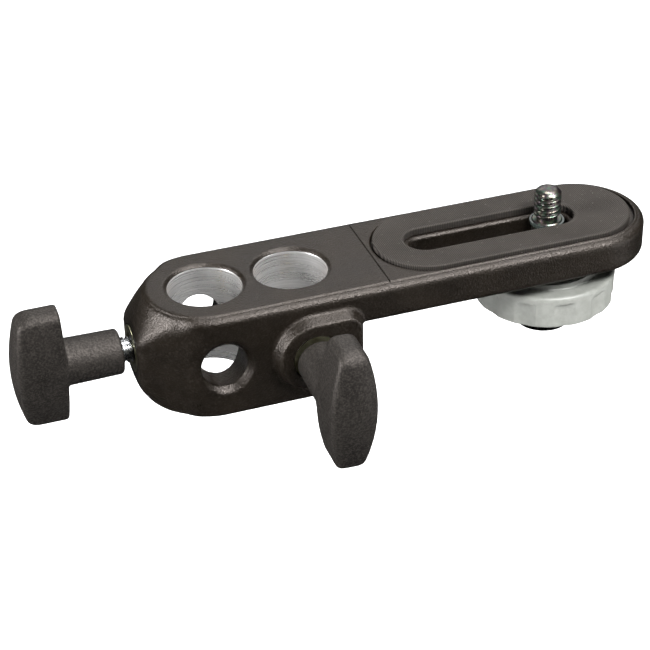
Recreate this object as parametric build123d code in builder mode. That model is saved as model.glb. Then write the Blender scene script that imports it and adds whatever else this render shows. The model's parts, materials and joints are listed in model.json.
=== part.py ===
from build123d import *

import math
import os

# Camera and umbrella bracket: a cast block with two spigot sockets and a slotted camera arm.
# Millimetres, +Z up. The origin is where the stand socket's axis meets the two cross axes,
# at half the block's height. +X runs along the arm, -Y is the side with the boss.

# block and arm
BLOCK_HEIGHT = 25.5
HALF_WIDTH = 15.25
BLOCK_END_X = 30.9
ARM_THICKNESS = 8.6
ARM_END_CENTRE_X = 90.0
LAND_HALF_WIDTH = 13.5
LAND_STEP = 0.3
TOP_EDGE_R = 1.6
BOTTOM_EDGE_R = 1.5
TOP_Z = BLOCK_HEIGHT / 2
BOTTOM_Z = -TOP_Z
ARM_BOTTOM_Z = TOP_Z - ARM_THICKNESS
LAND_Z = TOP_Z - LAND_STEP

# nose: the flat end of the block; each bevel starts on a circle on the top or the bottom,
# and drops by one amount at the shoulders and by another at the flat
NOSE_X = -17.5
NOSE_HALF_WIDTH = 7.0
NOSE_FRONT_ANGLE = 27.0
NOSE_FRONT_FLATTENING = 0.2
UPPER_BEVEL_R = LAND_HALF_WIDTH
UPPER_SHOULDER_DROP = 1.9
UPPER_FLAT_DROP = 7.4
LOWER_BEVEL_R = 13.9
LOWER_SHOULDER_DROP = 1.5
LOWER_FLAT_DROP = 5.4

# sockets for 5/8 in spigots
SOCKET_R = 8.25
SOCKET_RIM = 0.75
SOCKET_SPACING = 19.8

# hole for an umbrella shaft, across the block
SHAFT_HOLE_R = 5.2
SHAFT_RIM_R = 0.9

# boss for the side clamp
BOSS_FACE_Y = -18.3
BOSS_ROOT_Y = -14.5
BOSS_R = 8.15
BOSS_DRAFT = 1.4
BOSS_END_X = 30.2
BOSS_CORNER_R = 3.0
BOSS_EDGE_R = 0.5

# camera pad and its slot
RECESS_CENTRES_X = (52.2, 90.2)
RECESS_R = 12.75
RECESS_FLOOR_Z = TOP_Z - 1.1
PAD_R = 12.3
PAD_CENTRES_X = (52.2, 89.5)
PAD_TOP_Z = TOP_Z + 0.7
PAD_EDGE_R = 0.3
ADHESIVE_THICKNESS = 0.15
ADHESIVE_MARGIN = 0.4
SLOT_CENTRES_X = (52.0, 83.4)
PAD_SLOT_R = 4.9
ARM_SLOT_R = 3.65
SLOT_BEVEL = 0.4
GROOVE_X = 38.35
GROOVE_WIDTH = 0.4
GROOVE_DEPTH = 0.2

# clamp screws, M6, in flanged bushes
STUD_R = 2.95
STUD_NOSE_R = 1.6
STUD_NOSE_LENGTH = 1.4
STUD_IN_KNOB = 10.0
BUSH_FLANGE_R = 5.4
BUSH_FLANGE_LENGTH = 1.2
BUSH_R = 4.5
BUSH_LENGTH = 4.5
BUSH_BORE_R = 3.0
BUSH_MOUTH = 0.8
TIP_R = 3.5
TIP_LENGTH = 2.3
TIP_EDGE = 0.4
TIP_BORE_R = 3.58
RUNNING_GAP = 0.05
END_TIP_SET_BACK = 0.35
SIDE_TIP_SET_BACK = 0.1

# wing knobs; lengths are measured outwards from the inner end of the stem
END_STEM_GAP = 2.45
SIDE_STEM_GAP = 0.8
STEM_R = 5.1
STEM_ROOT_R = 5.3
STEM_CHAMFER = 0.8
WING_INNER = 12.65
WING_INNER_AT_ENDS = 12.9
WING_SHOULDER = 21.4
WING_CROWN = 24.4
WING_HALF_LENGTH = 15.0
WING_HALF_WIDTH = 5.1
WING_END_HALF_WIDTH = 2.5
WING_EDGE_R = 1.3
END_WING_TURN = -5
SIDE_WING_TURN = -2.5
INSERT_R = 3.9
INSERT_START = 1.5

# camera screw and what rides on it
SCREW_X = 82.1
SCREW_R = 3.1
SCREW_TOP_Z = TOP_Z + 7.7
SCREW_TOP_CHAMFER = 1.0
SHANK_R = 3.5
SHANK_TOP_Z = TOP_Z - 0.1
SHANK_BOTTOM_Z = -13.0
RETAINER_R = 4.0
RETAINER_THICKNESS = 0.7
WASHER_BORE_R = 3.56
FRICTION_WASHER_R = 8.3
FRICTION_WASHER_THICKNESS = 0.6
THRUST_WASHER_R = 8.0
THRUST_WASHER_THICKNESS = 0.9

# lock wheel
WHEEL_R = 16.4
WHEEL_BOTTOM_Z = -7.25
WHEEL_RIM_Z = 0.7
WHEEL_STEP_R = 12.5
WHEEL_STEP_Z = 2.0
WHEEL_HUB_R = 8.0
WHEEL_EDGE_R = 0.8
WHEEL_RECESS_R = 11.0
WHEEL_RECESS_DEPTH = 1.5
FLUTE_COUNT = 11
FLUTE_R = 6.5
FLUTE_DEPTH = 0.7
FLUTE_BELOW_RIM = 1.8
FLUTE_PHASE = 0.8
WHEEL_INSERT_R = 5.6

# black knurled head
HEAD_R = 7.0
HEAD_TOP_Z = -9.0
HEAD_BOTTOM_Z = -14.35
HEAD_EDGE = 0.6
KNURL_COUNT = 30
KNURL_R = 0.45
HEAD_PIN_R = 0.8
HEAD_PIN_LENGTH = 12.4
HEAD_PIN_Z = -11.6

FRICTION_WASHER_Z = ARM_BOTTOM_Z - RUNNING_GAP - FRICTION_WASHER_THICKNESS
THRUST_WASHER_Z = FRICTION_WASHER_Z - RUNNING_GAP - THRUST_WASHER_THICKNESS
HUB_TOP_Z = THRUST_WASHER_Z - RUNNING_GAP

os.makedirs("parts", exist_ok=True)


def save(built, name):
    """Label a finished piece and write it to its own STEP file."""
    built.part.label = name
    export_step(built.part, f"parts/{name}.step")


def stadium(centres_x, radius, mode=Mode.ADD):
    """Add a slot outline that runs along X between two centres to the open sketch."""
    with Locations(((centres_x[0] + centres_x[1]) / 2, 0)):
        SlotCenterToCenter(centres_x[1] - centres_x[0], 2 * radius, mode=mode)


# Each clamp has a plane on the face that its screw enters, facing outwards, with the
# plane's Y upwards; its wall is what the screw goes through to reach the socket.
END_CLAMP = Plane((NOSE_X, 0, 0), x_dir=(0, -1, 0), z_dir=(-1, 0, 0))
SIDE_CLAMP = Plane((SOCKET_SPACING, BOSS_FACE_Y, 0), x_dir=(1, 0, 0), z_dir=(0, -1, 0))
END_WALL = -NOSE_X - SOCKET_R
SIDE_WALL = -BOSS_FACE_Y - SOCKET_R

# The nose's shoulders are where its slanting sides leave the block's round end.
SHOULDER_ANGLE = math.degrees(
    math.atan2(NOSE_HALF_WIDTH, -NOSE_X) + math.acos(HALF_WIDTH / math.hypot(NOSE_X, NOSE_HALF_WIDTH))
)
SHOULDER_X = -HALF_WIDTH * math.cos(math.radians(SHOULDER_ANGLE))
SHOULDER_Y = HALF_WIDTH * math.sin(math.radians(SHOULDER_ANGLE))

# ---------------------------------------------------------------- bracket body

with BuildPart() as bracket_body:
    # block with its flat-ended nose
    with BuildSketch(Plane.XY.offset(BOTTOM_Z)):
        Circle(HALF_WIDTH)
        with Locations((NOSE_X / 2, 0)):
            Rectangle(-NOSE_X, 2 * NOSE_HALF_WIDTH)
        make_hull()
        with Locations((BLOCK_END_X / 2, 0)):
            Rectangle(BLOCK_END_X, 2 * HALF_WIDTH)
    extrude(amount=BLOCK_HEIGHT - LAND_STEP)

    # arm with its round end
    with BuildSketch(Plane.XY.offset(ARM_BOTTOM_Z)):
        with Locations((ARM_END_CENTRE_X / 2, 0)):
            Rectangle(ARM_END_CENTRE_X, 2 * HALF_WIDTH)
        with Locations((ARM_END_CENTRE_X, 0)):
            Circle(HALF_WIDTH)
    extrude(amount=ARM_THICKNESS - LAND_STEP)

    # rounded outer edges, top and bottom
    fillet(faces().sort_by(Axis.Z)[-1].outer_wire().edges(), radius=TOP_EDGE_R)
    fillet(faces().sort_by(Axis.Z)[0].outer_wire().edges(), radius=BOTTOM_EDGE_R)
    arm_underside = faces().filter_by(Axis.Z).sort_by(Axis.Z)[1]
    arm_edges = arm_underside.edges().filter_by(lambda edge: edge.center().X > BLOCK_END_X + 1)
    fillet(arm_edges, radius=BOTTOM_EDGE_R)

    # raised land that forms the flat top
    with BuildSketch(Plane.XY.offset(LAND_Z - 1)):
        stadium((0, ARM_END_CENTRE_X), LAND_HALF_WIDTH)
    extrude(amount=1 + LAND_STEP)

    # boss for the side clamp, tapered towards its face
    for depth, grown in ((BOSS_ROOT_Y, BOSS_DRAFT), (BOSS_FACE_Y, 0)):
        with BuildSketch(Plane.XZ.offset(-depth)):
            with Locations((SOCKET_SPACING, 0)):
                Circle(BOSS_R + grown)
            with Locations(((SOCKET_SPACING + BOSS_END_X + grown) / 2, 0)):
                Rectangle(BOSS_END_X + grown - SOCKET_SPACING, 2 * (BOSS_R + grown))
            fillet(vertices().group_by(Axis.X)[-1], radius=BOSS_CORNER_R + grown)
    loft()
    fillet(faces().filter_by(Axis.Y).sort_by(Axis.Y)[0].outer_wire().edges(), radius=BOSS_EDGE_R)

    # nose bevels: cut down to a slanting plane, then filled up to the circle with flat rulings
    for rim_z, rim_r, shoulder_drop, flat_drop in (
        (TOP_Z, UPPER_BEVEL_R, UPPER_SHOULDER_DROP, UPPER_FLAT_DROP),
        (BOTTOM_Z, LOWER_BEVEL_R, LOWER_SHOULDER_DROP, LOWER_FLAT_DROP),
    ):
        up = math.copysign(1, rim_z)
        slant_x = NOSE_X - SHOULDER_X
        slant_z = up * (shoulder_drop - flat_drop)
        slant = Plane((SHOULDER_X, 0, rim_z - up * shoulder_drop), x_dir=(slant_x, 0, slant_z),
                      z_dir=(-slant_z, 0, slant_x))
        with BuildSketch(slant):
            with Locations((slant_x * -2, 0)):
                Rectangle(slant_x * -4, 2 * BLOCK_HEIGHT)
        extrude(amount=-up * BLOCK_HEIGHT, mode=Mode.SUBTRACT)
        with BuildSketch(Plane.XY.offset(rim_z)):
            with BuildLine():
                shoulder = CenterArc(
                    (0, 0), rim_r, 180 - SHOULDER_ANGLE, SHOULDER_ANGLE - NOSE_FRONT_ANGLE
                )
                ThreePointArc(
                    shoulder @ 1,
                    (NOSE_FRONT_FLATTENING - rim_r, 0),
                    ((shoulder @ 1).X, -(shoulder @ 1).Y),
                )
                mirror(shoulder, about=Plane.XZ)
                Line(shoulder @ 0, ((shoulder @ 0).X, -(shoulder @ 0).Y))
            make_face()
        with BuildSketch(slant):
            with BuildLine():
                flat = math.hypot(slant_x, slant_z)
                Polyline(
                    (0, SHOULDER_Y),
                    (flat, NOSE_HALF_WIDTH),
                    (flat, -NOSE_HALF_WIDTH),
                    (0, -SHOULDER_Y),
                    close=True,
                )
            make_face()
        loft(ruled=True)

    # spigot sockets, right through, with chamfered rims
    with Locations((0, 0, TOP_Z), (SOCKET_SPACING, 0, TOP_Z)):
        Hole(SOCKET_R)
    socket_rims = edges().filter_by(GeomType.CIRCLE).filter_by(
        lambda edge: abs(edge.radius - SOCKET_R) < 0.01 and abs(abs(edge.center().Z) - TOP_Z) < 0.01
    )
    chamfer(socket_rims, length=SOCKET_RIM)

    # umbrella shaft hole, across the block through the stand socket, with rounded mouths
    with BuildSketch(Plane.XZ):
        Circle(SHAFT_HOLE_R)
    extrude(amount=2 * HALF_WIDTH, both=True, mode=Mode.SUBTRACT)
    shaft_mouths = edges().filter_by(
        lambda edge: abs(edge.center().X) < SHAFT_HOLE_R + 1
        and abs(edge.center().Z) < SHAFT_HOLE_R + 1
        and abs(edge.center().Y) > HALF_WIDTH - 2
    )
    fillet(shaft_mouths, radius=SHAFT_RIM_R)

    # stepped holes for the clamp screws' bushes and pressure tips
    for clamp, wall in ((END_CLAMP, END_WALL), (SIDE_CLAMP, SIDE_WALL)):
        for radius, depth in (
            (BUSH_FLANGE_R, BUSH_FLANGE_LENGTH),
            (BUSH_R, BUSH_LENGTH),
            (TIP_BORE_R, wall + 1),
        ):
            with BuildSketch(clamp):
                Circle(radius)
            extrude(amount=-depth, mode=Mode.SUBTRACT)

    # pad recess, and the slot through the arm with its bevelled upper edge
    with BuildSketch(Plane.XY.offset(RECESS_FLOOR_Z)):
        stadium(RECESS_CENTRES_X, RECESS_R)
    extrude(amount=TOP_Z, mode=Mode.SUBTRACT)
    with BuildSketch(Plane.XY):
        stadium(SLOT_CENTRES_X, ARM_SLOT_R)
    extrude(amount=BLOCK_HEIGHT, mode=Mode.SUBTRACT)
    slot_rim = faces().filter_by(Axis.Z).filter_by(
        lambda face: abs(face.center().Z - RECESS_FLOOR_Z) < 0.01
    )[0].inner_wires()[0]
    chamfer(slot_rim.edges(), length=SLOT_BEVEL)

    # fine groove across the top beside the pad
    with Locations((GROOVE_X, 0, TOP_Z)):
        Box(GROOVE_WIDTH, 2 * LAND_HALF_WIDTH, 2 * GROOVE_DEPTH, mode=Mode.SUBTRACT)

save(bracket_body, "bracket_body")

# ---------------------------------------------------------------- camera pad

with BuildPart() as pad_adhesive:
    with BuildSketch(Plane.XY.offset(RECESS_FLOOR_Z)):
        stadium(PAD_CENTRES_X, PAD_R - ADHESIVE_MARGIN)
        stadium(SLOT_CENTRES_X, PAD_SLOT_R + ADHESIVE_MARGIN, Mode.SUBTRACT)
    extrude(amount=ADHESIVE_THICKNESS)

save(pad_adhesive, "pad_adhesive")

with BuildPart() as camera_pad:
    with BuildSketch(Plane.XY.offset(RECESS_FLOOR_Z + ADHESIVE_THICKNESS)):
        stadium(PAD_CENTRES_X, PAD_R)
        stadium(SLOT_CENTRES_X, PAD_SLOT_R, Mode.SUBTRACT)
    extrude(amount=PAD_TOP_Z - RECESS_FLOOR_Z - ADHESIVE_THICKNESS)
    fillet(faces().sort_by(Axis.Z)[-1].edges(), radius=PAD_EDGE_R)

save(camera_pad, "camera_pad")

# ---------------------------------------------------------------- clamp screws

for side, clamp, wing_turn, stem_gap, wall, set_back in (
    ("end", END_CLAMP, END_WING_TURN, END_STEM_GAP, END_WALL, END_TIP_SET_BACK),
    ("side", SIDE_CLAMP, SIDE_WING_TURN, SIDE_STEM_GAP, SIDE_WALL, SIDE_TIP_SET_BACK),
):
    tip_front = set_back - wall
    tip_back = tip_front + TIP_LENGTH

    with BuildPart() as clamp_bush:
        for radius, depth in ((BUSH_FLANGE_R, BUSH_FLANGE_LENGTH), (BUSH_R, BUSH_LENGTH)):
            with BuildSketch(clamp):
                Circle(radius)
            extrude(amount=-depth)
        with BuildSketch(clamp):
            Circle(BUSH_BORE_R)
        extrude(amount=-BUSH_LENGTH, mode=Mode.SUBTRACT)
        mouth = edges().filter_by(GeomType.CIRCLE).filter_by(
            lambda edge: abs(edge.radius - BUSH_BORE_R) < 0.01
        ).sort_by(Axis(clamp.origin, clamp.z_dir))[-1]
        chamfer(mouth, length=BUSH_MOUTH)
    save(clamp_bush, f"{side}_clamp_bush")

    with BuildPart() as pressure_tip:
        with BuildSketch(clamp.offset(tip_front)):
            Circle(TIP_R)
        extrude(amount=TIP_LENGTH)
        chamfer(edges(), length=TIP_EDGE)
        with BuildSketch(clamp.offset(tip_back)):
            Circle(STUD_NOSE_R + RUNNING_GAP)
        extrude(amount=-STUD_NOSE_LENGTH - RUNNING_GAP, mode=Mode.SUBTRACT)
    save(pressure_tip, f"{side}_pressure_tip")

    with BuildPart() as clamp_stud:
        with BuildSketch(clamp.offset(tip_back + RUNNING_GAP)):
            Circle(STUD_R)
        extrude(amount=stem_gap + STUD_IN_KNOB - tip_back - RUNNING_GAP)
        chamfer(edges(), length=TIP_EDGE)
        with BuildSketch(clamp.offset(tip_back + RUNNING_GAP)):
            Circle(STUD_NOSE_R)
        extrude(amount=-STUD_NOSE_LENGTH)
    save(clamp_stud, f"{side}_clamp_stud")

    with BuildPart() as knob_insert:
        with BuildSketch(clamp.offset(stem_gap + INSERT_START)):
            Circle(INSERT_R)
            Circle(STUD_R, mode=Mode.SUBTRACT)
        extrude(amount=STUD_IN_KNOB - INSERT_START)
    save(knob_insert, f"{side}_knob_insert")

    with BuildPart() as wing_knob:
        # wing: a leaf outline seen along the screw, a domed outline seen from the side
        with BuildSketch(clamp.offset(stem_gap)):
            with BuildLine():
                for turn in (1, -1):
                    ThreePointArc(
                        (turn * WING_END_HALF_WIDTH, -turn * WING_HALF_LENGTH),
                        (turn * WING_HALF_WIDTH, 0),
                        (turn * WING_END_HALF_WIDTH, turn * WING_HALF_LENGTH),
                    )
                    Line(
                        (turn * WING_END_HALF_WIDTH, turn * WING_HALF_LENGTH),
                        (-turn * WING_END_HALF_WIDTH, turn * WING_HALF_LENGTH),
                    )
            make_face()
        extrude(amount=WING_CROWN + 1)
        with BuildSketch(Plane(clamp.origin, x_dir=clamp.y_dir, z_dir=clamp.x_dir)):
            with BuildLine():
                ThreePointArc(
                    (-WING_HALF_LENGTH, stem_gap + WING_INNER_AT_ENDS),
                    (0, stem_gap + WING_INNER),
                    (WING_HALF_LENGTH, stem_gap + WING_INNER_AT_ENDS),
                )
                Line(
                    (WING_HALF_LENGTH, stem_gap + WING_INNER_AT_ENDS),
                    (WING_HALF_LENGTH, stem_gap + WING_SHOULDER),
                )
                ThreePointArc(
                    (WING_HALF_LENGTH, stem_gap + WING_SHOULDER),
                    (0, stem_gap + WING_CROWN),
                    (-WING_HALF_LENGTH, stem_gap + WING_SHOULDER),
                )
                Line(
                    (-WING_HALF_LENGTH, stem_gap + WING_SHOULDER),
                    (-WING_HALF_LENGTH, stem_gap + WING_INNER_AT_ENDS),
                )
            make_face()
        extrude(amount=WING_HALF_WIDTH + 1, both=True, mode=Mode.INTERSECT)
        fillet(edges(), radius=WING_EDGE_R)
        # stem
        with BuildSketch(clamp.offset(stem_gap)):
            Circle(STEM_R)
        with BuildSketch(clamp.offset(stem_gap + WING_INNER + 2)):
            Circle(STEM_ROOT_R)
        loft()
        stem_end = faces().filter_by(GeomType.PLANE).sort_by(Axis(clamp.origin, clamp.z_dir))[0]
        chamfer(stem_end.edges(), length=STEM_CHAMFER)
        # hole for the insert and the stud
        for radius, depth in ((STUD_R, INSERT_START), (INSERT_R, STUD_IN_KNOB)):
            start = 0 if radius == STUD_R else INSERT_START
            with BuildSketch(clamp.offset(stem_gap + start)):
                Circle(radius)
            extrude(amount=depth - start, mode=Mode.SUBTRACT)
    wing_knob.part = wing_knob.part.rotate(Axis(clamp.origin, clamp.z_dir), wing_turn)
    save(wing_knob, f"{side}_knob")

# ---------------------------------------------------------------- camera screw group

with BuildPart() as camera_screw:
    with BuildSketch(Plane.XY.offset(SHANK_BOTTOM_Z)):
        with Locations((SCREW_X, 0)):
            Circle(SHANK_R)
    extrude(amount=SHANK_TOP_Z - SHANK_BOTTOM_Z)
    with BuildSketch(Plane.XY.offset(SHANK_TOP_Z)):
        with Locations((SCREW_X, 0)):
            Circle(SCREW_R)
    extrude(amount=SCREW_TOP_Z - SHANK_TOP_Z)
    chamfer(faces().sort_by(Axis.Z)[-1].edges(), length=SCREW_TOP_CHAMFER)
    with BuildSketch(Plane.XZ):
        with Locations((SCREW_X, HEAD_PIN_Z)):
            Circle(HEAD_PIN_R)
    extrude(amount=HEAD_PIN_LENGTH / 2, both=True, mode=Mode.SUBTRACT)

save(camera_screw, "camera_screw")

for name, bottom_z, thickness, radius in (
    ("retaining_washer", RECESS_FLOOR_Z + RUNNING_GAP, RETAINER_THICKNESS, RETAINER_R),
    ("friction_washer", FRICTION_WASHER_Z, FRICTION_WASHER_THICKNESS, FRICTION_WASHER_R),
    ("thrust_washer", THRUST_WASHER_Z, THRUST_WASHER_THICKNESS, THRUST_WASHER_R),
):
    with BuildPart() as washer:
        with BuildSketch(Plane.XY.offset(bottom_z)):
            with Locations((SCREW_X, 0)):
                Circle(radius)
                Circle(WASHER_BORE_R, mode=Mode.SUBTRACT)
        extrude(amount=thickness)
    save(washer, name)

with BuildPart() as lock_wheel:
    for bottom_z, top_z, radius in (
        (WHEEL_BOTTOM_Z, WHEEL_RIM_Z, WHEEL_R),
        (WHEEL_RIM_Z, WHEEL_STEP_Z, WHEEL_STEP_R),
        (WHEEL_STEP_Z, HUB_TOP_Z, WHEEL_HUB_R),
    ):
        with BuildSketch(Plane.XY.offset(bottom_z)):
            with Locations((SCREW_X, 0)):
                Circle(radius)
        extrude(amount=top_z - bottom_z)
    rim_edges = edges().filter_by(GeomType.CIRCLE).filter_by(
        lambda edge: abs(edge.radius - WHEEL_R) < 0.01
    )
    fillet(rim_edges, radius=WHEEL_EDGE_R)
    # finger flutes round the rim, open at the bottom
    with BuildSketch(Plane.XY.offset(WHEEL_BOTTOM_Z)):
        with Locations((SCREW_X, 0)):
            with PolarLocations(WHEEL_R + FLUTE_R - FLUTE_DEPTH, FLUTE_COUNT, start_angle=FLUTE_PHASE):
                Circle(FLUTE_R)
    extrude(amount=WHEEL_RIM_Z - FLUTE_BELOW_RIM - WHEEL_BOTTOM_Z, mode=Mode.SUBTRACT)
    # hollow underneath, and the hole for the insert
    with BuildSketch(Plane.XY.offset(WHEEL_BOTTOM_Z)):
        with Locations((SCREW_X, 0)):
            Circle(WHEEL_RECESS_R)
    extrude(amount=WHEEL_RECESS_DEPTH, mode=Mode.SUBTRACT)
    with BuildSketch(Plane.XY.offset(WHEEL_BOTTOM_Z)):
        with Locations((SCREW_X, 0)):
            Circle(WHEEL_INSERT_R)
    extrude(amount=HUB_TOP_Z - WHEEL_BOTTOM_Z, mode=Mode.SUBTRACT)

save(lock_wheel, "lock_wheel")

with BuildPart() as wheel_insert:
    with BuildSketch(Plane.XY.offset(WHEEL_BOTTOM_Z + WHEEL_RECESS_DEPTH)):
        with Locations((SCREW_X, 0)):
            Circle(WHEEL_INSERT_R)
            Circle(WASHER_BORE_R, mode=Mode.SUBTRACT)
    extrude(amount=HUB_TOP_Z - WHEEL_BOTTOM_Z - WHEEL_RECESS_DEPTH)

save(wheel_insert, "wheel_insert")

with BuildPart() as screw_head:
    with BuildSketch(Plane.XY.offset(HEAD_BOTTOM_Z)):
        with Locations((SCREW_X, 0)):
            Circle(HEAD_R)
    extrude(amount=HEAD_TOP_Z - HEAD_BOTTOM_Z)
    chamfer(edges(), length=HEAD_EDGE)
    with BuildSketch(Plane.XY.offset(HEAD_BOTTOM_Z)):
        with Locations((SCREW_X, 0)):
            with PolarLocations(HEAD_R, KNURL_COUNT):
                Circle(KNURL_R)
    extrude(amount=HEAD_TOP_Z - HEAD_BOTTOM_Z, mode=Mode.SUBTRACT)
    with BuildSketch(Plane.XY.offset(SHANK_BOTTOM_Z)):
        with Locations((SCREW_X, 0)):
            Circle(SHANK_R)
    extrude(amount=HEAD_TOP_Z - SHANK_BOTTOM_Z, mode=Mode.SUBTRACT)
    with BuildSketch(Plane.XZ):
        with Locations((SCREW_X, HEAD_PIN_Z)):
            Circle(HEAD_PIN_R)
    extrude(amount=HEAD_PIN_LENGTH / 2, both=True, mode=Mode.SUBTRACT)

save(screw_head, "screw_head")

with BuildPart() as head_pin:
    with BuildSketch(Plane.XZ):
        with Locations((SCREW_X, HEAD_PIN_Z)):
            Circle(HEAD_PIN_R)
    extrude(amount=HEAD_PIN_LENGTH / 2, both=True)

save(head_pin, "head_pin")
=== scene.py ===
import itertools
import json
import math

import bmesh
import bpy
import numpy as np
from mathutils import Matrix, Vector


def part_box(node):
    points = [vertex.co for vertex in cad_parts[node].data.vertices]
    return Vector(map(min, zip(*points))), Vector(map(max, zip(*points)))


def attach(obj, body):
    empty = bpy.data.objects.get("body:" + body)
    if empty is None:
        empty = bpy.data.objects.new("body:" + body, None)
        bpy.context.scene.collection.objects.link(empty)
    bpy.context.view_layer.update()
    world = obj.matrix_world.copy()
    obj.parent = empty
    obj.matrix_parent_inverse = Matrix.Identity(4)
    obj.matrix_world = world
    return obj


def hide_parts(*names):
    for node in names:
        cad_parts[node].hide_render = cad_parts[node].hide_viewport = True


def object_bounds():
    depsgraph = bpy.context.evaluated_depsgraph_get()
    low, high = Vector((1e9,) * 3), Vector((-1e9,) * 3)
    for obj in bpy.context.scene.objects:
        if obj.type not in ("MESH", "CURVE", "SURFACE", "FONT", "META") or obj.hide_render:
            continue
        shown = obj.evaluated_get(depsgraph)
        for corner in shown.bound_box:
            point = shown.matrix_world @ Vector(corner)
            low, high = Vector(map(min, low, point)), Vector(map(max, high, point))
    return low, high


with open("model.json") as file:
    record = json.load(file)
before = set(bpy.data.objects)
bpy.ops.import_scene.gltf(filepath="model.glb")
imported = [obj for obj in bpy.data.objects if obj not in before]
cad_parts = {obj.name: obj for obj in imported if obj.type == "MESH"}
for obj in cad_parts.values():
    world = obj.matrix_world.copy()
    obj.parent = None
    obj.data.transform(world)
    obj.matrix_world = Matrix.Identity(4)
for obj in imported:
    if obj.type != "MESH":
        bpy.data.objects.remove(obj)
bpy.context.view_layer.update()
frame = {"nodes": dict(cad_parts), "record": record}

# Umbrella and camera bracket. Metres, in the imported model's frame: +X along the arm, +Z up.
MM = 0.001
nodes = frame["nodes"]
mounts = {mount["name"]: mount for mount in frame["record"]["mounts"]}

# ---------------------------------------------------------------- camera

CAMERA_AZIMUTH = 71.66
CAMERA_ELEVATION = 32.86
CAMERA_ROLL = -1.39
CAMERA_DISTANCE = 0.41743
CAMERA_LENS = 102.9
CAMERA_AIM = Vector((0.02608, -0.00459, -0.00113))


def make_camera():
    """Camera on the side clamp's side, looking down at a point inside the block."""
    azimuth = math.radians(CAMERA_AZIMUTH)
    elevation = math.radians(CAMERA_ELEVATION)
    forward = Vector((
        math.cos(elevation) * math.cos(azimuth),
        math.cos(elevation) * math.sin(azimuth),
        -math.sin(elevation),
    ))
    data = bpy.data.cameras.new("camera")
    data.lens = CAMERA_LENS
    data.clip_start = 10 * MM
    camera = bpy.data.objects.new("camera", data)
    bpy.context.scene.collection.objects.link(camera)
    turn = forward.to_track_quat("-Z", "Y").to_matrix()
    roll = Matrix.Rotation(math.radians(CAMERA_ROLL), 3, "Z")
    place = Matrix.Translation(CAMERA_AIM - CAMERA_DISTANCE * forward)
    camera.matrix_world = place @ (turn @ roll).to_4x4()
    bpy.context.scene.camera = camera


make_camera()

# ---------------------------------------------------------------- light and floor

LIGHT_AIM = Vector((0.03, 0, 0))
FLOOR_DROP = 150 * MM
FLOOR_SIZE = 20.0
WORLD_BRIGHT = 1.0
WORLD_DARK = 0.08


def area_light(name, direction, distance, size, radiance):
    """Soft box that faces the bracket from a direction; its power follows from its radiance."""
    data = bpy.data.lights.new(name, "AREA")
    data.shape = "RECTANGLE"
    data.size, data.size_y = size
    data.energy = radiance * math.pi * size[0] * size[1]
    light = bpy.data.objects.new(name, data)
    bpy.context.scene.collection.objects.link(light)
    outwards = Vector(direction).normalized()
    place = Matrix.Translation(LIGHT_AIM + distance * outwards)
    light.matrix_world = place @ (-outwards).to_track_quat("-Z", "Y").to_matrix().to_4x4()


area_light("overhead_box", (0.26, 0.16, 0.95), 0.9, (0.50, 0.36), 15.0)
area_light("near_edge_strip", (0.26, -0.54, 0.80), 0.9, (0.60, 0.20), 52.0)
area_light("left_box", (-0.92, -0.06, 0.30), 0.8, (0.34, 0.34), 38.0)
area_light("right_box", (0.80, -0.60, -0.05), 0.5, (0.20, 0.30), 5.0)
area_light("back_box", (0.26, 0.80, 0.54), 1.0, (0.9, 0.5), 1.5)


def make_world():
    """White studio above the horizon and behind, dark below in front, where black sides look."""
    world = bpy.data.worlds.new("studio")
    bpy.context.scene.world = world
    world.use_nodes = True
    tree = world.node_tree
    direction = tree.nodes.new("ShaderNodeSeparateXYZ")
    tree.links.new(tree.nodes.new("ShaderNodeTexCoord").outputs["Generated"], direction.inputs[0])
    lighter = tree.nodes.new("ShaderNodeMath")
    lighter.operation = "MAXIMUM"
    for index, (axis, low, high) in enumerate((("Z", -0.12, 0.05), ("Y", -0.15, 0.25))):
        ramp = tree.nodes.new("ShaderNodeMapRange")
        tree.links.new(direction.outputs[axis], ramp.inputs["Value"])
        ramp.inputs["From Min"].default_value = low
        ramp.inputs["From Max"].default_value = high
        ramp.inputs["To Min"].default_value = WORLD_DARK
        ramp.inputs["To Max"].default_value = WORLD_BRIGHT
        tree.links.new(ramp.outputs["Result"], lighter.inputs[index])
    tree.links.new(lighter.outputs[0], tree.nodes["Background"].inputs["Strength"])


make_world()
bpy.context.scene.view_settings.view_transform = "Standard"


def make_floor():
    """Plain pale floor, a little below the bracket."""
    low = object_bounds()[0]
    bm = bmesh.new()
    bmesh.ops.create_grid(bm, x_segments=1, y_segments=1, size=FLOOR_SIZE / 2)
    mesh = bpy.data.meshes.new("floor")
    bm.to_mesh(mesh)
    bm.free()
    floor = bpy.data.objects.new("floor", mesh)
    floor.location.z = low[2] - FLOOR_DROP
    floor.visible_glossy = False
    bpy.context.scene.collection.objects.link(floor)
    paint = bpy.data.materials.new("floor")
    paint.use_nodes = True
    shader = paint.node_tree.nodes["Principled BSDF"]
    shader.inputs["Base Color"].default_value = (0.95, 0.95, 0.95, 1)
    shader.inputs["Roughness"].default_value = 0.9
    mesh.materials.append(paint)


make_floor()

# ---------------------------------------------------------------- node helpers


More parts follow.
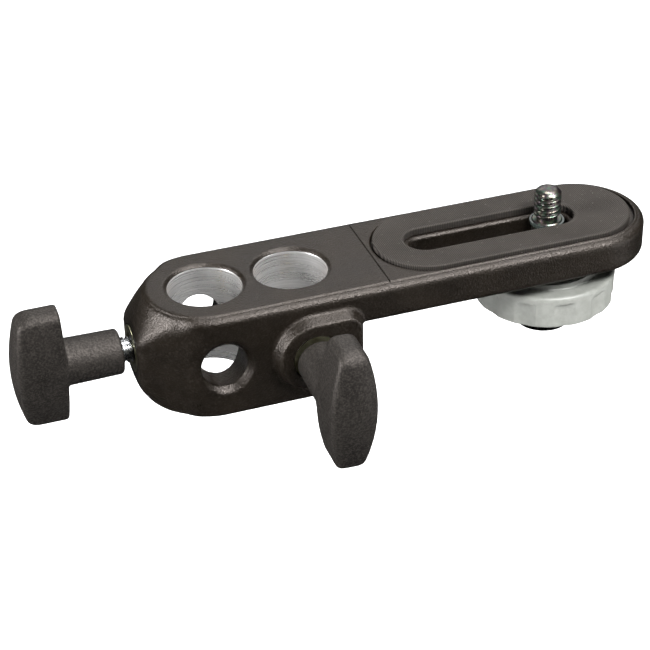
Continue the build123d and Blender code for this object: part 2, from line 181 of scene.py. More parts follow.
class Finish:
    """A procedural material, with its node tree, its shader and the object's coordinates."""

    def __init__(self, name):
        self.material = bpy.data.materials.new(name)
        self.material.use_nodes = True
        self.tree = self.material.node_tree
        self.shader = self.tree.nodes["Principled BSDF"]
        self.place = self.tree.nodes.new("ShaderNodeTexCoord").outputs["Object"]

    def put(self, value, socket):
        """Link a node's output to a socket, or set the socket to a constant."""
        if isinstance(value, bpy.types.NodeSocket):
            self.tree.links.new(value, socket)
        else:
            socket.default_value = value

    def constants(self, **values):
        """Set the shader's own sockets, named with underscores for spaces."""
        for name, value in values.items():
            self.shader.inputs[name.replace("_", " ")].default_value = value

    def math(self, operation, first, second=0.0):
        node = self.tree.nodes.new("ShaderNodeMath")
        node.operation = operation
        self.put(first, node.inputs[0])
        self.put(second, node.inputs[1])
        return node.outputs[0]

    def axes(self):
        """The object's X, Y and Z coordinates, in metres."""
        node = self.tree.nodes.new("ShaderNodeSeparateXYZ")
        self.put(self.place, node.inputs[0])
        return node.outputs

    def noise(self, size, detail=2.0, squeeze=(1, 1, 1), roughness=0.5):
        """Noise with features of about this size in metres, squeezed along each axis."""
        scaled = self.tree.nodes.new("ShaderNodeVectorMath")
        scaled.operation = "MULTIPLY"
        self.put(self.place, scaled.inputs[0])
        scaled.inputs[1].default_value = [factor / size for factor in squeeze]
        node = self.tree.nodes.new("ShaderNodeTexNoise")
        self.put(scaled.outputs[0], node.inputs["Vector"])
        node.inputs["Scale"].default_value = 1.0
        node.inputs["Detail"].default_value = detail
        node.inputs["Roughness"].default_value = roughness
        return node.outputs["Fac"]

    def span(self, value, low, high, to_low=0.0, to_high=1.0):
        """Map the range low to high onto another range, held at its ends."""
        node = self.tree.nodes.new("ShaderNodeMapRange")
        self.put(value, node.inputs["Value"])
        for name, number in (
            ("From Min", low), ("From Max", high), ("To Min", to_low), ("To Max", to_high)
        ):
            node.inputs[name].default_value = number
        return node.outputs["Result"]

    def blend(self, factor, first, second):
        """Blend two colours."""
        node = self.tree.nodes.new("ShaderNodeMix")
        node.data_type = "RGBA"
        self.put(factor, node.inputs["Factor"])
        self.put(first, node.inputs[6])
        self.put(second, node.inputs[7])
        return node.outputs[2]

    def blend_normals(self, factor, first, second):
        """Blend two normals."""
        node = self.tree.nodes.new("ShaderNodeMix")
        node.data_type = "VECTOR"
        self.put(factor, node.inputs["Factor"])
        self.put(first, node.inputs[4])
        self.put(second, node.inputs[5])
        return node.outputs[1]

    def bump(self, height, distance, strength=1.0, below=None):
        """Bump of this depth in metres, over an earlier bump."""
        node = self.tree.nodes.new("ShaderNodeBump")
        self.put(height, node.inputs["Height"])
        node.inputs["Distance"].default_value = distance
        self.put(strength, node.inputs["Strength"])
        if below is not None:
            self.put(below, node.inputs["Normal"])
        return node.outputs["Normal"]

    def use(self, **values):
        """Link outputs to the shader's sockets, named with underscores for spaces."""
        for name, value in values.items():
            self.put(value, self.shader.inputs[name.replace("_", " ")])
        return self.material


def grey(level, warmth=0.0):
    """Linear colour of a grey, with red raised and blue lowered by the warmth."""
    return (level * (1 + warmth), level, level * (1 - warmth), 1)


# ---------------------------------------------------------------- finishes

SOCKET_R = mounts["stand_socket"]["dims"]["r_mm"] * MM
SOCKET_XS = [mounts[name]["pos_m"][0] for name in ("stand_socket", "accessory_socket")]
BARE_HALF_HEIGHT = 12.0 * MM
BARE_MARGIN = 0.08 * MM
BARE_METALLIC = 0.8
WARM_TINT = (1.0, 0.90, 0.84, 1)
PAD_RIB_PITCH = 0.42 * MM


def bare_share(f):
    """One on the bare walls of the sockets, zero on the coat."""
    x, y, z = f.axes()
    distances = []
    for socket_x in SOCKET_XS:
        across = f.math("SUBTRACT", x, socket_x)
        squared = f.math("ADD", f.math("MULTIPLY", across, across), f.math("MULTIPLY", y, y))
        distances.append(f.math("SQRT", squared))
    in_bore = f.math("LESS_THAN", f.math("MINIMUM", *distances), SOCKET_R + BARE_MARGIN)
    in_block = f.math("LESS_THAN", f.math("ABSOLUTE", z), BARE_HALF_HEIGHT)
    return f.math("MULTIPLY", in_bore, in_block)


def coated_aluminium():
    """Black powder coat with a fine grain; the socket bores are bare, turned metal."""
    f = Finish("coated_aluminium")
    bare = bare_share(f)
    coated = f.math("SUBTRACT", 1.0, bare)

    grain = f.noise(0.40 * MM, detail=2.0, roughness=0.6)
    coarse = f.noise(1.1 * MM, detail=2.0)
    drift = f.noise(9 * MM, detail=2.0)
    coat = f.blend(f.span(drift, 0.3, 0.7), grey(0.0026, 0.35), grey(0.0045, 0.40))
    coat = f.blend(f.span(grain, 0.50, 0.70, 0.0, 0.6), coat, grey(0.016, 0.20))
    grain_roughness = f.span(grain, 0.35, 0.65, 0.30, 0.44)
    roughness = f.math("ADD", grain_roughness, f.span(drift, 0.3, 0.7, -0.03, 0.03))
    coat_bump = f.bump(grain, 0.15 * MM, 1.0)
    coat_bump = f.bump(coarse, 0.16 * MM, 0.4, coat_bump)

    streaks = f.noise(0.40 * MM, detail=2.0, squeeze=(0.01, 0.01, 1.0))
    metal = f.blend(f.span(streaks, 0.3, 0.7), grey(0.50, 0.012), grey(0.66, 0.006))
    polish = f.span(streaks, 0.3, 0.7, 0.25, 0.33)
    metal_bump = f.bump(streaks, 0.008 * MM, 0.3)

    f.constants(Specular_IOR_Level=0.36, Specular_Tint=WARM_TINT)
    return f.use(
        Base_Color=f.blend(bare, coat, metal),
        Metallic=f.math("MULTIPLY", bare, BARE_METALLIC),
        Roughness=f.math("ADD", f.math("MULTIPLY", coated, roughness), f.math("MULTIPLY", bare, polish)),
        Normal=f.blend_normals(bare, coat_bump, metal_bump),
    )


def knob_nylon():
    """Black glass-filled nylon with a pebbled moulding grain."""
    f = Finish("knob_nylon")
    pebble = f.noise(0.42 * MM, detail=2.5, roughness=0.6)
    drift = f.noise(5 * MM)
    colour = f.blend(f.span(pebble, 0.42, 0.66), grey(0.002, 0.12), grey(0.020, 0.12))
    colour = f.blend(f.span(drift, 0.3, 0.7, 0.0, 0.35), colour, grey(0.014, 0.12))
    f.constants(Specular_IOR_Level=0.32, Specular_Tint=WARM_TINT)
    return f.use(
        Base_Color=colour,
        Roughness=f.span(pebble, 0.35, 0.65, 0.60, 0.46),
        Normal=f.bump(pebble, 0.15 * MM, 0.9),
    )


def pad_rubber():
    """Black rubber, ribbed, with painted shade darkening the rib grooves, and a little dusty on top."""
    f = Finish("pad_rubber")
    fine = f.noise(0.2 * MM, detail=2.0)
    drift = f.noise(7 * MM, detail=3.0)
    dust = f.span(f.noise(0.45 * MM, detail=1.0), 0.72, 0.78)
    wave = f.math("COSINE", f.math("MULTIPLY", f.axes()[0], 2 * math.pi / PAD_RIB_PITCH))
    # painted shade: a cosine across the ribs, roughened by noise, gives the share of the rubber's own
    # colour, low in the grooves
    groove_shade_factor = f.span(f.math("ADD", wave, f.span(fine, 0.3, 0.7, -0.4, 0.4)), -0.7, 0.9)
    colour = f.blend(f.span(drift, 0.3, 0.7), grey(0.024, 0.12), grey(0.034, 0.12))
    # painted shade: near black in the rib grooves, the rubber's colour on the crests
    colour = f.blend(groove_shade_factor, grey(0.002, 0.15), colour)
    colour = f.blend(f.math("MULTIPLY", dust, 0.5), colour, grey(0.16, 0.05))
    f.constants(Specular_IOR_Level=0.30, Specular_Tint=WARM_TINT)
    return f.use(
        Base_Color=colour,
        Roughness=f.span(fine, 0.3, 0.7, 0.62, 0.78),
        Normal=f.bump(fine, 0.03 * MM, 0.5),
    )


def plated(name, dark, light, roughness):
    """Zinc-plated or turned metal, with faint turning marks and drifting colour."""
    f = Finish(name)
    drift = f.noise(1.6 * MM, detail=3.0)
    marks = f.noise(0.12 * MM, detail=2.0)
    f.constants(Metallic=1.0)
    return f.use(
        Base_Color=f.blend(f.span(drift, 0.35, 0.65), dark, light),
        Roughness=f.span(marks, 0.3, 0.7, roughness - 0.05, roughness + 0.07),
        Normal=f.bump(marks, 0.01 * MM, 0.5),
    )


def camera_screw_zinc():
    """Darkened zinc with the green and violet tints of its passivation."""
    f = Finish("camera_screw_zinc")
    first = f.span(f.noise(1.3 * MM, detail=1.0), 0.42, 0.58)
    second = f.span(f.noise(0.9 * MM, detail=1.0), 0.50, 0.62)
    marks = f.noise(0.12 * MM, detail=2.0)
    colour = f.blend(first, (0.15, 0.135, 0.115, 1), (0.09, 0.13, 0.10, 1))
    colour = f.blend(second, colour, (0.10, 0.08, 0.09, 1))
    f.constants(Metallic=1.0)
    return f.use(
        Base_Color=colour,
        Roughness=f.span(marks, 0.3, 0.7, 0.26, 0.38),
        Normal=f.bump(marks, 0.004 * MM, 0.4),
    )


def grey_plastic():
    """Greenish-grey moulded plastic, satin, with a faint mottle."""
    f = Finish("grey_plastic")
    mottle = f.noise(1.4 * MM, detail=4.0, roughness=0.6)
    fine = f.noise(0.22 * MM, detail=2.0)
    dark, light = (0.165, 0.170, 0.155, 1), (0.195, 0.201, 0.185, 1)
    f.constants(Specular_IOR_Level=0.45)
    return f.use(
        Base_Color=f.blend(f.span(mottle, 0.35, 0.65), dark, light),
        Roughness=f.span(mottle, 0.3, 0.7, 0.34, 0.46),
        Normal=f.bump(fine, 0.012 * MM, 0.35),
    )


def clear_nylon():
    """Translucent nylon, dark and a little green."""
    f = Finish("clear_nylon")
    cloud = f.noise(1.5 * MM, detail=2.0)
    f.constants(IOR=1.53, Transmission_Weight=0.35)
    return f.use(
        Base_Color=f.blend(f.span(cloud, 0.3, 0.7), (0.02, 0.028, 0.026, 1), (0.05, 0.06, 0.055, 1)),
        Roughness=f.span(cloud, 0.3, 0.7, 0.12, 0.22),
    )


def adhesive_tape():
    """Double-sided tape."""
    f = Finish("adhesive_tape")
    cloud = f.noise(2 * MM, detail=3.0)
    return f.use(
        Base_Color=f.blend(cloud, (0.55, 0.53, 0.48, 1), (0.70, 0.68, 0.62, 1)),
        Roughness=f.span(cloud, 0.3, 0.7, 0.5, 0.7),
    )


FINISHES = {
    "coated_aluminium": coated_aluminium(),
    "knob_nylon": knob_nylon(),
    "pad_rubber": pad_rubber(),
    "adhesive_tape": adhesive_tape(),
    "grey_plastic": grey_plastic(),
    "clear_nylon": clear_nylon(),
    "yellow_zinc": plated("yellow_zinc", (0.26, 0.25, 0.15, 1), (0.42, 0.41, 0.28, 1), 0.34),
    "brass": plated("brass", (0.55, 0.40, 0.16, 1), (0.68, 0.52, 0.24, 1), 0.30),
    "zinc_steel": plated("zinc_steel", (0.50, 0.51, 0.52, 1), (0.68, 0.69, 0.70, 1), 0.24),
    "black_steel": plated("black_steel", (0.020, 0.020, 0.020, 1), (0.045, 0.044, 0.042, 1), 0.42),
}
SLOTS = {subpart["node"]: subpart["material_slot"] for subpart in frame["record"]["subparts"]}


def dress(piece, finish):
    """Give a piece one material."""
    piece.data.materials.clear()
    piece.data.materials.append(finish)


for node, piece in nodes.items():
    dress(piece, FINISHES[SLOTS[node]])

# ---------------------------------------------------------------- mesh helpers


def stand_for(piece, node, body, finish=None):
    """Dress a piece, let it ride on a body and let it stand for a CAD node."""
    dress(piece, finish or FINISHES[SLOTS[node]])
    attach(piece, body)
    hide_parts(node)


def new_piece(name, bm, node, body, finish=None, sharp_angle=35):
    """Turn a bmesh into a piece, with its edges sharp above an angle in degrees."""
    for face in bm.faces:
        face.smooth = True
    for edge in bm.edges:
        turn = edge.calc_face_angle(0)
        edge.smooth = len(edge.link_faces) == 2 and turn < math.radians(sharp_angle)
    mesh = bpy.data.meshes.new(name)
    bm.to_mesh(mesh)
    bm.free()
    piece = bpy.data.objects.new(name, mesh)
    bpy.context.scene.collection.objects.link(piece)
    stand_for(piece, node, body, finish)


def softened(name, node, body, voxel, rounds):
    """Copy of a CAD node with all its edges rounded a little, as on a moulding."""
    piece = bpy.data.objects.new(name, nodes[node].data.copy())
    bpy.context.scene.collection.objects.link(piece)
    remesh = piece.modifiers.new("remesh", "REMESH")
    remesh.mode = "VOXEL"
    remesh.voxel_size = voxel
    remesh.use_smooth_shade = True
    smooth = piece.modifiers.new("smooth", "SMOOTH")
    smooth.factor = 0.5
    smooth.iterations = rounds
    graph = bpy.context.evaluated_depsgraph_get()
    mesh = bpy.data.meshes.new_from_object(piece.evaluated_get(graph))
    piece.modifiers.clear()
    piece.data = mesh
    stand_for(piece, node, body)


# shares of half a pitch: the thread's crest, and the flank that falls from it
FLANK_START, FLANK_WIDTH = 0.12, 0.72


def turned(section, matrix, pitch, depth, columns=72):
    """Capped mesh turned about Z from (z, radius, threaded) points, grooved where threaded."""
    bm = bmesh.new()
    rows = []
    for z, radius, threaded in section:
        row = []
        for column in range(columns):
            angle = 2 * math.pi * column / columns
            reach = radius
            if threaded:
                phase = (z / pitch - column / columns) % 1.0
                flank = min(max((abs(2 * phase - 1) - FLANK_START) / FLANK_WIDTH, 0.0), 1.0)
                reach = radius - depth * flank * flank * (3 - 2 * flank)
            point = Vector((reach * math.cos(angle), reach * math.sin(angle), z))
            row.append(bm.verts.new(matrix @ point))
        rows.append(row)
    bm.faces.new(rows[0])
    bm.faces.new(rows[-1])
    for lower, upper in zip(rows, rows[1:]):
        for column in range(columns):
            after = (column + 1) % columns
            bm.faces.new((lower[column], lower[after], upper[after], upper[column]))
    bmesh.ops.recalc_face_normals(bm, faces=bm.faces)
    return bm


def threaded_run(start, end, radius, pitch, steps_per_pitch=14):
    """Section points along a threaded stretch."""
    count = round(abs(end - start) / pitch * steps_per_pitch)
    return [(start + (end - start) * step / count, radius, True) for step in range(count + 1)]


# ---------------------------------------------------------------- solids from distances
# These work in millimetres: a solid is where its distance function is negative.

GRID_STEP = 0.3
PROJECTION_STEP = 0.02
PROJECTION_ROUNDS = 3
LEAST_STEEPNESS = 0.25


def common(first, second, radius):
    """Intersection of two solids, with its edges rounded."""
    corner = np.hypot(np.maximum(radius + first, 0), np.maximum(radius + second, 0))
    return np.minimum(-radius, np.maximum(first, second)) + corner


def joined(first, second, radius):
    """Union of two solids, with a fillet where they meet."""
    return -common(-first, -second, radius)


def without(first, second, radius=0.0):
    """First solid less the second, with its edges rounded."""
    return common(first, -second, radius) if radius else np.maximum(first, -second)


def slot_distance(x, y, ends, radius):
    """Distance from a slot outline along X between two centres."""
    return np.hypot(x - np.clip(x, *ends), y) - radius


def smooth_step(value, low, high):
    """Rise from 0 to 1 between two values, level at both ends."""
    share = np.clip((value - low) / (high - low), 0, 1)
    return share * share * (3 - 2 * share)


def grid_lines(start, end):
    """Grid positions from a little before a start to a little past an end."""
    count = math.ceil((end - start) / GRID_STEP) + 7
    return np.linspace(start - 3 * GRID_STEP, end + 3 * GRID_STEP, count)


def cell_points(grid, field):
    """Which cells the surface crosses, and in each the mean of its crossings with their edges."""
    inside = field < 0
    cells = tuple(n - 1 for n in field.shape)
    total = np.zeros(cells + (3,))
    crossings = np.zeros(cells, int)
    for axis, first, second in itertools.product(range(3), (0, 1), (0, 1)):
        offset = [first, second]
        offset.insert(axis, 0)
        here = tuple(slice(o, o + n) for o, n in zip(offset, cells))
        offset[axis] = 1
        there = tuple(slice(o, o + n) for o, n in zip(offset, cells))
        crossed = inside[here] != inside[there]
        at = np.argwhere(crossed)
        value, after = field[here][crossed], field[there][crossed]
        share = value / (value - after)
        for other in range(3):
            start_index = at[:, other] + (0 if other == axis else offset[other])
            place = grid[other][start_index]
            if other == axis:
                place = place + share * (grid[axis][start_index + 1] - place)
            total[crossed, other] += place
        crossings[crossed] += 1
    active = crossings > 0
    return active, total[active] / crossings[active][:, None]


def cell_faces(inside, number):
    """Faces that join the four cells round each grid edge that the surface crosses."""
    quads = []
    for axis in range(3):
        others = [other for other in range(3) if other != axis]
        before = [slice(1, -1)] * 3
        before[axis] = slice(0, -1)
        after = list(before)
        after[axis] = slice(1, None)
        first_inside = inside[tuple(before)]
        crossed = first_inside != inside[tuple(after)]
        at = np.argwhere(crossed)
        at[:, others] += 1
        corners = []
        for step in ((-1, -1), (0, -1), (0, 0), (-1, 0)):
            cell = at.copy()
            cell[:, others] += step
            corners.append(number[tuple(cell.T)])
        faces = np.stack(corners, axis=1)
        outwards = first_inside[crossed] != (axis == 1)
        faces[~outwards] = faces[~outwards][:, ::-1]
        quads.append(faces)
    return np.concatenate(quads)


def drawn_onto(points, distance):
    """Points moved along the distance function's slope onto its surface."""
    for _ in range(PROJECTION_ROUNDS):
        value = distance(*points.T)
        slope = np.stack([
            distance(*(points + PROJECTION_STEP * np.eye(3)[axis]).T) - value for axis in range(3)
        ], axis=1) / PROJECTION_STEP
        steepness = np.maximum((slope ** 2).sum(axis=1), LEAST_STEEPNESS)
        move = (value / steepness)[:, None] * slope
        points = points - np.clip(move, -GRID_STEP / 2, GRID_STEP / 2)
    return points


def solid_mesh(distance, low, high, fine_x=()):
    """Closed mesh of a distance function in a box, by surface nets, then drawn onto the surface."""
    grid = [grid_lines(start, end) for start, end in zip(low, high)]
    grid[0] = np.unique(np.concatenate([grid[0], fine_x]))
    field = distance(*np.meshgrid(*grid, indexing="ij")).astype(np.float32)
    active, points = cell_points(grid, field)
    number = np.full(active.shape, -1)
    number[active] = np.arange(len(points))
    quads = cell_faces(field < 0, number)
    points = drawn_onto(points, distance)
    mesh = bpy.data.meshes.new("solid")
    mesh.from_pydata((points * MM).tolist(), [], quads.tolist())
    return mesh


def solid_piece(name, mesh, matrix, node, body):
    """Piece made from a solid's mesh."""
    mesh.transform(matrix)
    mesh.shade_smooth()
    mesh.name = name
    piece = bpy.data.objects.new(name, mesh)
    bpy.context.scene.collection.objects.link(piece)
    stand_for(piece, node, body)


# ---------------------------------------------------------------- bracket body

BODY_LOW, BODY_HIGH = (np.array(corner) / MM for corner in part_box("bracket_body"))
TOP, BOTTOM = BODY_HIGH[2], BODY_LOW[2]
NOSE_X = BODY_LOW[0]
BOSS_FACE_Y = BODY_LOW[1]
HALF_WIDTH = BODY_HIGH[1]
ARM_END_X = BODY_HIGH[0] - HALF_WIDTH
BLOCK_END_X = 30.9
ARM_BOTTOM = TOP - 8.6
UNDERCUT_R = 0.8
LAND = TOP - 0.3
LAND_HALF_WIDTH, LAND_EDGE_R = 13.5, 0.2
TOP_EDGE_R = 1.7
BOTTOM_EDGE_R = 1.5
NOSE_HALF_WIDTH = 7.0
NOSE_RIDGE_R = 1.2
NOSE_FRONT_X, NOSE_FRONT_DROP = 13.6, 6.9
# each bevel starts at a radius, falls at a slope and is rounded at its edge
UPPER_BEVEL = (13.35, 1.45, 0.8)
LOWER_BEVEL = (14.8, 1.6, 1.4)
# round the nose's sides the bevels start further out, over a range of degrees
BEVEL_SHIFT, SHIFT_START, SHIFT_END = 2.5, 50, 80
BOSS_R = 8.15
BOSS_TAPER = 0.37
BOSS_END = 10.4
BOSS_ROOT_Y = -10
BOSS_CORNER_R, BOSS_FACE_R, BOSS_FILLET_R = 3.0, 0.45, 0.7
SOCKET_RIM, SOCKET_RIM_R = 0.75, 0.15
SHAFT_R = 5.2
SHAFT_RIM, SHAFT_RIM_R = 1.5, 0.28
# radius and depth of each step of the clamps' bush seats
BUSH_SEATS = ((5.4, 1.2), (4.5, 4.5), (3.6, 11.5))
RECESS_ENDS, RECESS_R, RECESS_DEPTH = (52.2, 90.2), 12.75, 1.1
SLOT_ENDS, SLOT_R, SLOT_BEVEL = (52.0, 83.4), 3.65, 0.5
RECESS_EDGE_R = 0.12
GROOVE_X, GROOVE_HALF_WIDTH, GROOVE_DEPTH = 38.35, 0.15, 0.25


def arm_outline(x, y, radius):
    """Distance from an outline at this radius round the block's and the arm's centre line."""
    return slot_distance(x, y, (0, ARM_END_X), radius)


def plan_distance(x, y):
    """Outline seen from above: a round end, with slanting sides that lead to the nose's flat."""
    corner = math.hypot(NOSE_X, NOSE_HALF_WIDTH)
    shoulder = math.atan2(NOSE_HALF_WIDTH, -NOSE_X) + math.acos(HALF_WIDTH / corner)
    slanting = np.abs(y) * math.sin(shoulder) - x * math.cos(shoulder) - HALF_WIDTH
    nose = common(slanting, NOSE_X - x, NOSE_RIDGE_R)
    turn = np.arctan2(np.abs(y), -x)
    return np.where(turn < shoulder, nose, arm_outline(x, y, HALF_WIDTH))


def block_distance(x, y, z):
    """Block and arm, with the rim, the slightly raised land inside it, and the nose's bevels."""
    land = common(arm_outline(x, y, LAND_HALF_WIDTH), z - TOP, LAND_EDGE_R)
    body = np.minimum(common(plan_distance(x, y), z - LAND, TOP_EDGE_R), land)
    reach = arm_outline(x, y, 0)
    turn = np.degrees(np.arctan2(np.abs(y), -x))
    shift = BEVEL_SHIFT * smooth_step(turn, SHIFT_START, SHIFT_END)
    front = NOSE_FRONT_DROP / (-NOSE_X - NOSE_FRONT_X)
    radius, slope, edge_r = UPPER_BEVEL
    body = common(body, ((-x - NOSE_FRONT_X) * front + z - TOP) / math.hypot(1, front), edge_r)
    body = common(body, ((reach - radius - shift) * slope + z - TOP) / math.hypot(1, slope), edge_r)
    radius, slope, edge_r = LOWER_BEVEL
    lower = ((reach - radius - shift) * slope + BOTTOM - z) / math.hypot(1, slope)
    body = common(common(body, BOTTOM - z, BOTTOM_EDGE_R), lower, edge_r)
    under_arm = common(BLOCK_END_X - x, z - ARM_BOTTOM, UNDERCUT_R)
    return without(body, under_arm, BOTTOM_EDGE_R)


def boss_distance(along, y, z):
    """Boss for the side clamp, round towards the nose and squared towards the arm."""
    box_x = along - BOSS_END + BOSS_CORNER_R
    box_z = np.abs(z) - BOSS_R + BOSS_CORNER_R
    outside = np.hypot(np.maximum(box_x, 0), np.maximum(box_z, 0))
    squared = outside + np.minimum(np.maximum(box_x, box_z), 0)
    outline = np.where(along < 0, np.hypot(along, z) - BOSS_R, squared - BOSS_CORNER_R)
    flank = (outline - BOSS_TAPER * (y - BOSS_FACE_Y)) / math.hypot(1, BOSS_TAPER)
    return np.maximum(common(flank, BOSS_FACE_Y - y, BOSS_FACE_R), y - BOSS_ROOT_Y)


def with_bores(body, along, x, y, z):
    """Body with its shaft hole, its sockets and the seats of the clamps' bushes cut out."""
    shaft = np.hypot(x, z) - SHAFT_R
    mouth = (shaft - SHAFT_RIM + HALF_WIDTH - np.abs(y)) / math.sqrt(2)
    body = without(without(body, shaft), mouth, SHAFT_RIM_R)
    for socket_x in SOCKET_XS:
        hollow = np.hypot(x - socket_x / MM, y) - SOCKET_R / MM
        rim = (hollow - SOCKET_RIM + TOP - np.abs(z)) / math.sqrt(2)
        body = without(without(body, hollow), rim, SOCKET_RIM_R)
    for radius, depth in BUSH_SEATS:
        body = without(body, np.maximum(np.hypot(y, z) - radius, x - NOSE_X - depth))
        body = without(body, np.maximum(np.hypot(along, z) - radius, y - BOSS_FACE_Y - depth))
    return body


def bracket_distance(x, y, z):
    """Cast body: bevelled block, arm, boss, sockets, shaft hole, pad recess, slot and groove."""
    along = x - SOCKET_XS[1] / MM
    body = joined(block_distance(x, y, z), boss_distance(along, y, z), BOSS_FILLET_R)
    body = with_bores(body, along, x, y, z)
    floor = TOP - RECESS_DEPTH
    recess = np.maximum(slot_distance(x, y, RECESS_ENDS, RECESS_R), floor - z)
    body = without(body, recess, RECESS_EDGE_R)
    slot = slot_distance(x, y, SLOT_ENDS, SLOT_R)
    slot_bevel = (slot - SLOT_BEVEL + floor - z) / math.sqrt(2)
    body = without(without(body, slot), slot_bevel, RECESS_EDGE_R)
    groove = np.maximum(np.abs(x - GROOVE_X) - GROOVE_HALF_WIDTH, TOP - GROOVE_DEPTH - z)
    return without(body, groove)


# grid lines close to the groove's walls, as shares of its half width
GROOVE_LINES = np.array([-1.4, -1.05, -0.95, -0.5, 0, 0.5, 0.95, 1.05, 1.4])
solid_piece(
    "cast_body",
    solid_mesh(bracket_distance, BODY_LOW, BODY_HIGH, GROOVE_X + GROOVE_HALF_WIDTH * GROOVE_LINES),
    Matrix.Identity(4), "bracket_body", "bracket",
)

# ---------------------------------------------------------------- camera screw

SCREW_PITCH = 1.27 * MM
SCREW_R = mounts["camera_screw_thread"]["dims"]["r_mm"] * MM
THREAD_DEPTH = 0.62 * MM
SHANK_R = 3.5 * MM
NECK_R = 2.45 * MM
NECK_HEIGHT = 1.3 * MM
NECK_GAP = 0.3 * MM
SHANK_CHAMFER = 0.2 * MM
SHANK_DROP = 0.1 * MM
TIP_CHAMFER = 1.0 * MM
TIP_STEP, TIP_NARROWING, TIP_END_R = 0.15 * MM, 1.6 * MM, 0.6 * MM


def make_camera_screw():
    """1/4 in-20 screw with a rounded tip, a plain neck and its shank below."""
    low, high = (Vector(corner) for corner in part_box("camera_screw"))
    axis = (low + high) / 2
    shank_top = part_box("bracket_body")[1][2] - SHANK_DROP
    thread_start = shank_top + NECK_HEIGHT
    thread_end = high.z - TIP_CHAMFER
    section = [
        (low.z, SHANK_R, False),
        (shank_top - SHANK_CHAMFER, SHANK_R, False),
        (shank_top, SHANK_R - SHANK_CHAMFER, False),
        (shank_top, NECK_R, False),
        (thread_start - NECK_GAP, NECK_R, False),
    ]
    section += threaded_run(thread_start, thread_end, SCREW_R, SCREW_PITCH)
    for share in (0.25, 0.5, 0.75, 0.95):
        turn = share * math.pi / 2
        section.append((
            thread_end + TIP_CHAMFER * math.sin(turn) ** 1.2,
            SCREW_R - TIP_STEP - TIP_NARROWING * (1 - math.cos(turn)),
            False,
        ))
    section.append((high.z, TIP_END_R, False))
    matrix = Matrix.Translation((axis.x, axis.y, 0))
    bm = turned(section, matrix, SCREW_PITCH, THREAD_DEPTH, columns=96)
    new_piece("threaded_camera_screw", bm, "camera_screw", "camera_screw", camera_screw_zinc())


make_camera_screw()

# ---------------------------------------------------------------- clamp screws

STUD_R = 2.95 * MM
STUD_NOSE_R = 1.6 * MM
STUD_NOSE_LENGTH = 1.4 * MM
STUD_PITCH = 1.0 * MM
STUD_DEPTH = 0.5 * MM
STUD_CHAMFER = 0.4 * MM


def clamp_frame(side):
    """Matrix from a clamp's own frame, +Z outwards along its screw, to the bracket's."""
    if side == "end":
        face = Vector((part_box("end_clamp_bush")[0][0], 0, 0))
        turn = Matrix.Rotation(math.radians(-90), 4, "Y")
    else:
        low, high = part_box("side_clamp_bush")
        face = Vector(((low[0] + high[0]) / 2, low[1], 0))
        turn = Matrix.Rotation(math.radians(90), 4, "X")
    return Matrix.Translation(face) @ turn


def make_stud(side):
    """M6 stud with a plain nose that holds the pressure tip."""
    matrix = clamp_frame(side)
    corners = [matrix.inverted() @ Vector(corner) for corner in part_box(f"{side}_clamp_stud")]
    low, high = sorted(corner.z for corner in corners)
    shoulder = low + STUD_NOSE_LENGTH
    section = [
        (low, STUD_NOSE_R, False),
        (shoulder, STUD_NOSE_R, False),
        (shoulder, STUD_R - STUD_CHAMFER, False),
    ]
    section += threaded_run(shoulder + STUD_CHAMFER, high - STUD_CHAMFER, STUD_R, STUD_PITCH)
    section.append((high, STUD_R - STUD_CHAMFER, False))
    bm = turned(section, matrix, STUD_PITCH, STUD_DEPTH)
    new_piece(f"threaded_{side}_stud", bm, f"{side}_clamp_stud", f"{side}_clamp")


SIDES = ("end", "side")
for side in SIDES:
    make_stud(side)

# ---------------------------------------------------------------- knobs and wheel

WING_TURN = {"end": math.radians(85), "side": math.radians(-2.5)}
WING_INNER, WING_CROWN, WING_SHOULDER = 12.65, 24.37, 21.7
WING_INNER_BOW = 0.25
WING_HALF_LENGTH, WING_HALF_WIDTH, WING_END_HALF_WIDTH = 15.0, 5.3, 2.6
WING_CROSS_DOME = 0.5
WING_END_R, CROWN_END_R, CROWN_EDGE_R, INNER_EDGE_R = 2.0, 3.0, 1.0, 0.9
# brings the domed crown's function closer to a true distance
CROWN_SCALE = 0.9
STEM_R, STEM_ROOT_R = 5.1, 5.3
STEM_END_R, STEM_FILLET_R, STEM_OVERLAP = 0.8, 0.6, 3
KNOB_BOX_MARGIN = 0.4
WHEEL_VOXEL, WHEEL_ROUNDS = 0.2 * MM, 2


def knob_distance(x, y, z):
    """Wing knob on a tapered stem; +Z outwards along the screw, the wing along Y."""
    outwards = (y / WING_HALF_LENGTH) ** 2
    end = np.abs(y) - WING_HALF_LENGTH
    half_width = WING_HALF_WIDTH - (WING_HALF_WIDTH - WING_END_HALF_WIDTH) * outwards
    leaf = common(np.abs(x) - half_width, end, WING_END_R)
    dome = (1 - outwards) * (1 - WING_CROSS_DOME * (x / half_width) ** 2)
    height = z - WING_SHOULDER - (WING_CROWN - WING_SHOULDER) * dome
    crown = common(height * CROWN_SCALE, end, CROWN_END_R)
    inner = WING_INNER + WING_INNER_BOW * outwards - z
    wing = common(common(leaf, crown, CROWN_EDGE_R), inner, INNER_EDGE_R)
    share = z / WING_INNER
    stem = np.hypot(x, y) - STEM_R - (STEM_ROOT_R - STEM_R) * share
    stem = np.maximum(common(stem, -z, STEM_END_R), z - WING_INNER - STEM_OVERLAP)
    return joined(wing, stem, STEM_FILLET_R)


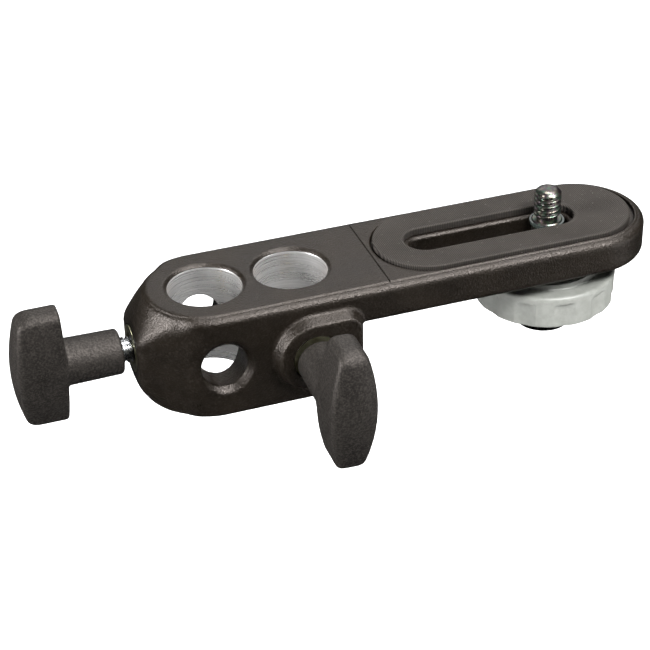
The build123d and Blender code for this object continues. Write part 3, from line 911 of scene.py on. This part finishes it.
def make_knob(side):
    """Wing knob of a clamp, turned about its screw."""
    outwards = clamp_frame(side)
    corners = [outwards.inverted() @ Vector(corner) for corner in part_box(f"{side}_knob")]
    stem_end = min(corner.z for corner in corners)
    reach = np.array([WING_HALF_WIDTH + KNOB_BOX_MARGIN, WING_HALF_LENGTH, 0])
    mesh = solid_mesh(knob_distance, -reach, reach + [0, 0, WING_CROWN])
    upright = Matrix.Translation((0, 0, stem_end)) @ Matrix.Rotation(WING_TURN[side], 4, "Z")
    solid_piece(f"moulded_{side}_knob", mesh, outwards @ upright, f"{side}_knob", f"{side}_clamp")


for side in SIDES:
    make_knob(side)
softened("moulded_wheel", "lock_wheel", "lock_wheel", WHEEL_VOXEL, WHEEL_ROUNDS)

# ---------------------------------------------------------------- camera pad

PAD_RIB_DEPTH = 0.12 * MM
PAD_MARGIN = 0.75 * MM
PAD_EDGE_R = 0.35 * MM
PAD_EDGE_STEPS = 4
PAD_SLOT_R = 4.9 * MM
PAD_STEP = 0.1 * MM


def pad_spine(straight, around):
    """Stations round the pad: share of the way along the slot, then sideways and endways reach."""
    spine = [(step / straight, -1.0, 0.0) for step in range(straight)]
    for step in range(around):
        turn = -math.pi / 2 + math.pi * step / around
        spine.append((1.0, math.sin(turn), math.cos(turn)))
    spine += [(1 - step / straight, 1.0, 0.0) for step in range(straight)]
    for step in range(around):
        turn = math.pi / 2 + math.pi * step / around
        spine.append((0.0, math.sin(turn), math.cos(turn)))
    return spine


def pad_section(width, bottom, top):
    """Points up the slot's wall, across the top and down the outer wall, as (offset, z)."""
    edge = []
    for step in range(PAD_EDGE_STEPS):
        turn = step / PAD_EDGE_STEPS * math.pi / 2
        edge.append((PAD_EDGE_R * (1 - math.cos(turn)), top - PAD_EDGE_R * (1 - math.sin(turn))))
    across = round(width / PAD_STEP)
    section = [(0.0, bottom)] + edge
    for step in range(across + 1):
        section.append((PAD_EDGE_R + (width - 2 * PAD_EDGE_R) * step / across, top))
    section += [(width - offset, z) for offset, z in reversed(edge)]
    section.append((width, bottom))
    return section


def rib_drop(offset, width, x):
    """How far the pad's top lies below its ribs' crests; none close to the pad's edges."""
    margin = min(offset, width - offset)
    ribbed = min(max((margin - PAD_MARGIN * 0.6) / (PAD_MARGIN * 0.4), 0.0), 1.0)
    wave = 0.5 - 0.5 * math.cos(2 * math.pi * x / PAD_RIB_PITCH)
    return PAD_RIB_DEPTH * ribbed * wave


def make_pad():
    """Rubber pad: a band between its slot and its outline, with fine ribs across it."""
    low, high = (Vector(corner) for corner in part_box("camera_pad"))
    outer_r = (high.y - low.y) / 2
    width = outer_r - PAD_SLOT_R
    slot_low, slot_high = (end * MM for end in SLOT_ENDS)
    outer_low, outer_high = low.x + outer_r, high.x - outer_r
    straight = round((outer_high - outer_low) / PAD_STEP)
    around = round(math.pi * outer_r / PAD_STEP / 1.5)
    section = pad_section(width, low.z, high.z)
    bm = bmesh.new()
    rows = []
    for share, sideways, endways in pad_spine(straight, around):
        inner_x = slot_low + share * (slot_high - slot_low) + PAD_SLOT_R * endways
        outer_x = outer_low + share * (outer_high - outer_low) + outer_r * endways
        inner = Vector((inner_x, PAD_SLOT_R * sideways, 0))
        outer = Vector((outer_x, outer_r * sideways, 0))
        row = []
        for offset, z in section:
            point = inner.lerp(outer, offset / width)
            drop = rib_drop(offset, width, point.x) if z == high.z else 0.0
            row.append(bm.verts.new((point.x, point.y, z - drop)))
        rows.append(row)
    for row, after in zip(rows, rows[1:] + rows[:1]):
        for here in range(len(section)):
            there = (here + 1) % len(section)
            bm.faces.new((row[here], row[there], after[there], after[here]))
    bmesh.ops.recalc_face_normals(bm, faces=bm.faces)
    new_piece("ribbed_pad", bm, "camera_pad", "bracket", sharp_angle=60)


make_pad()
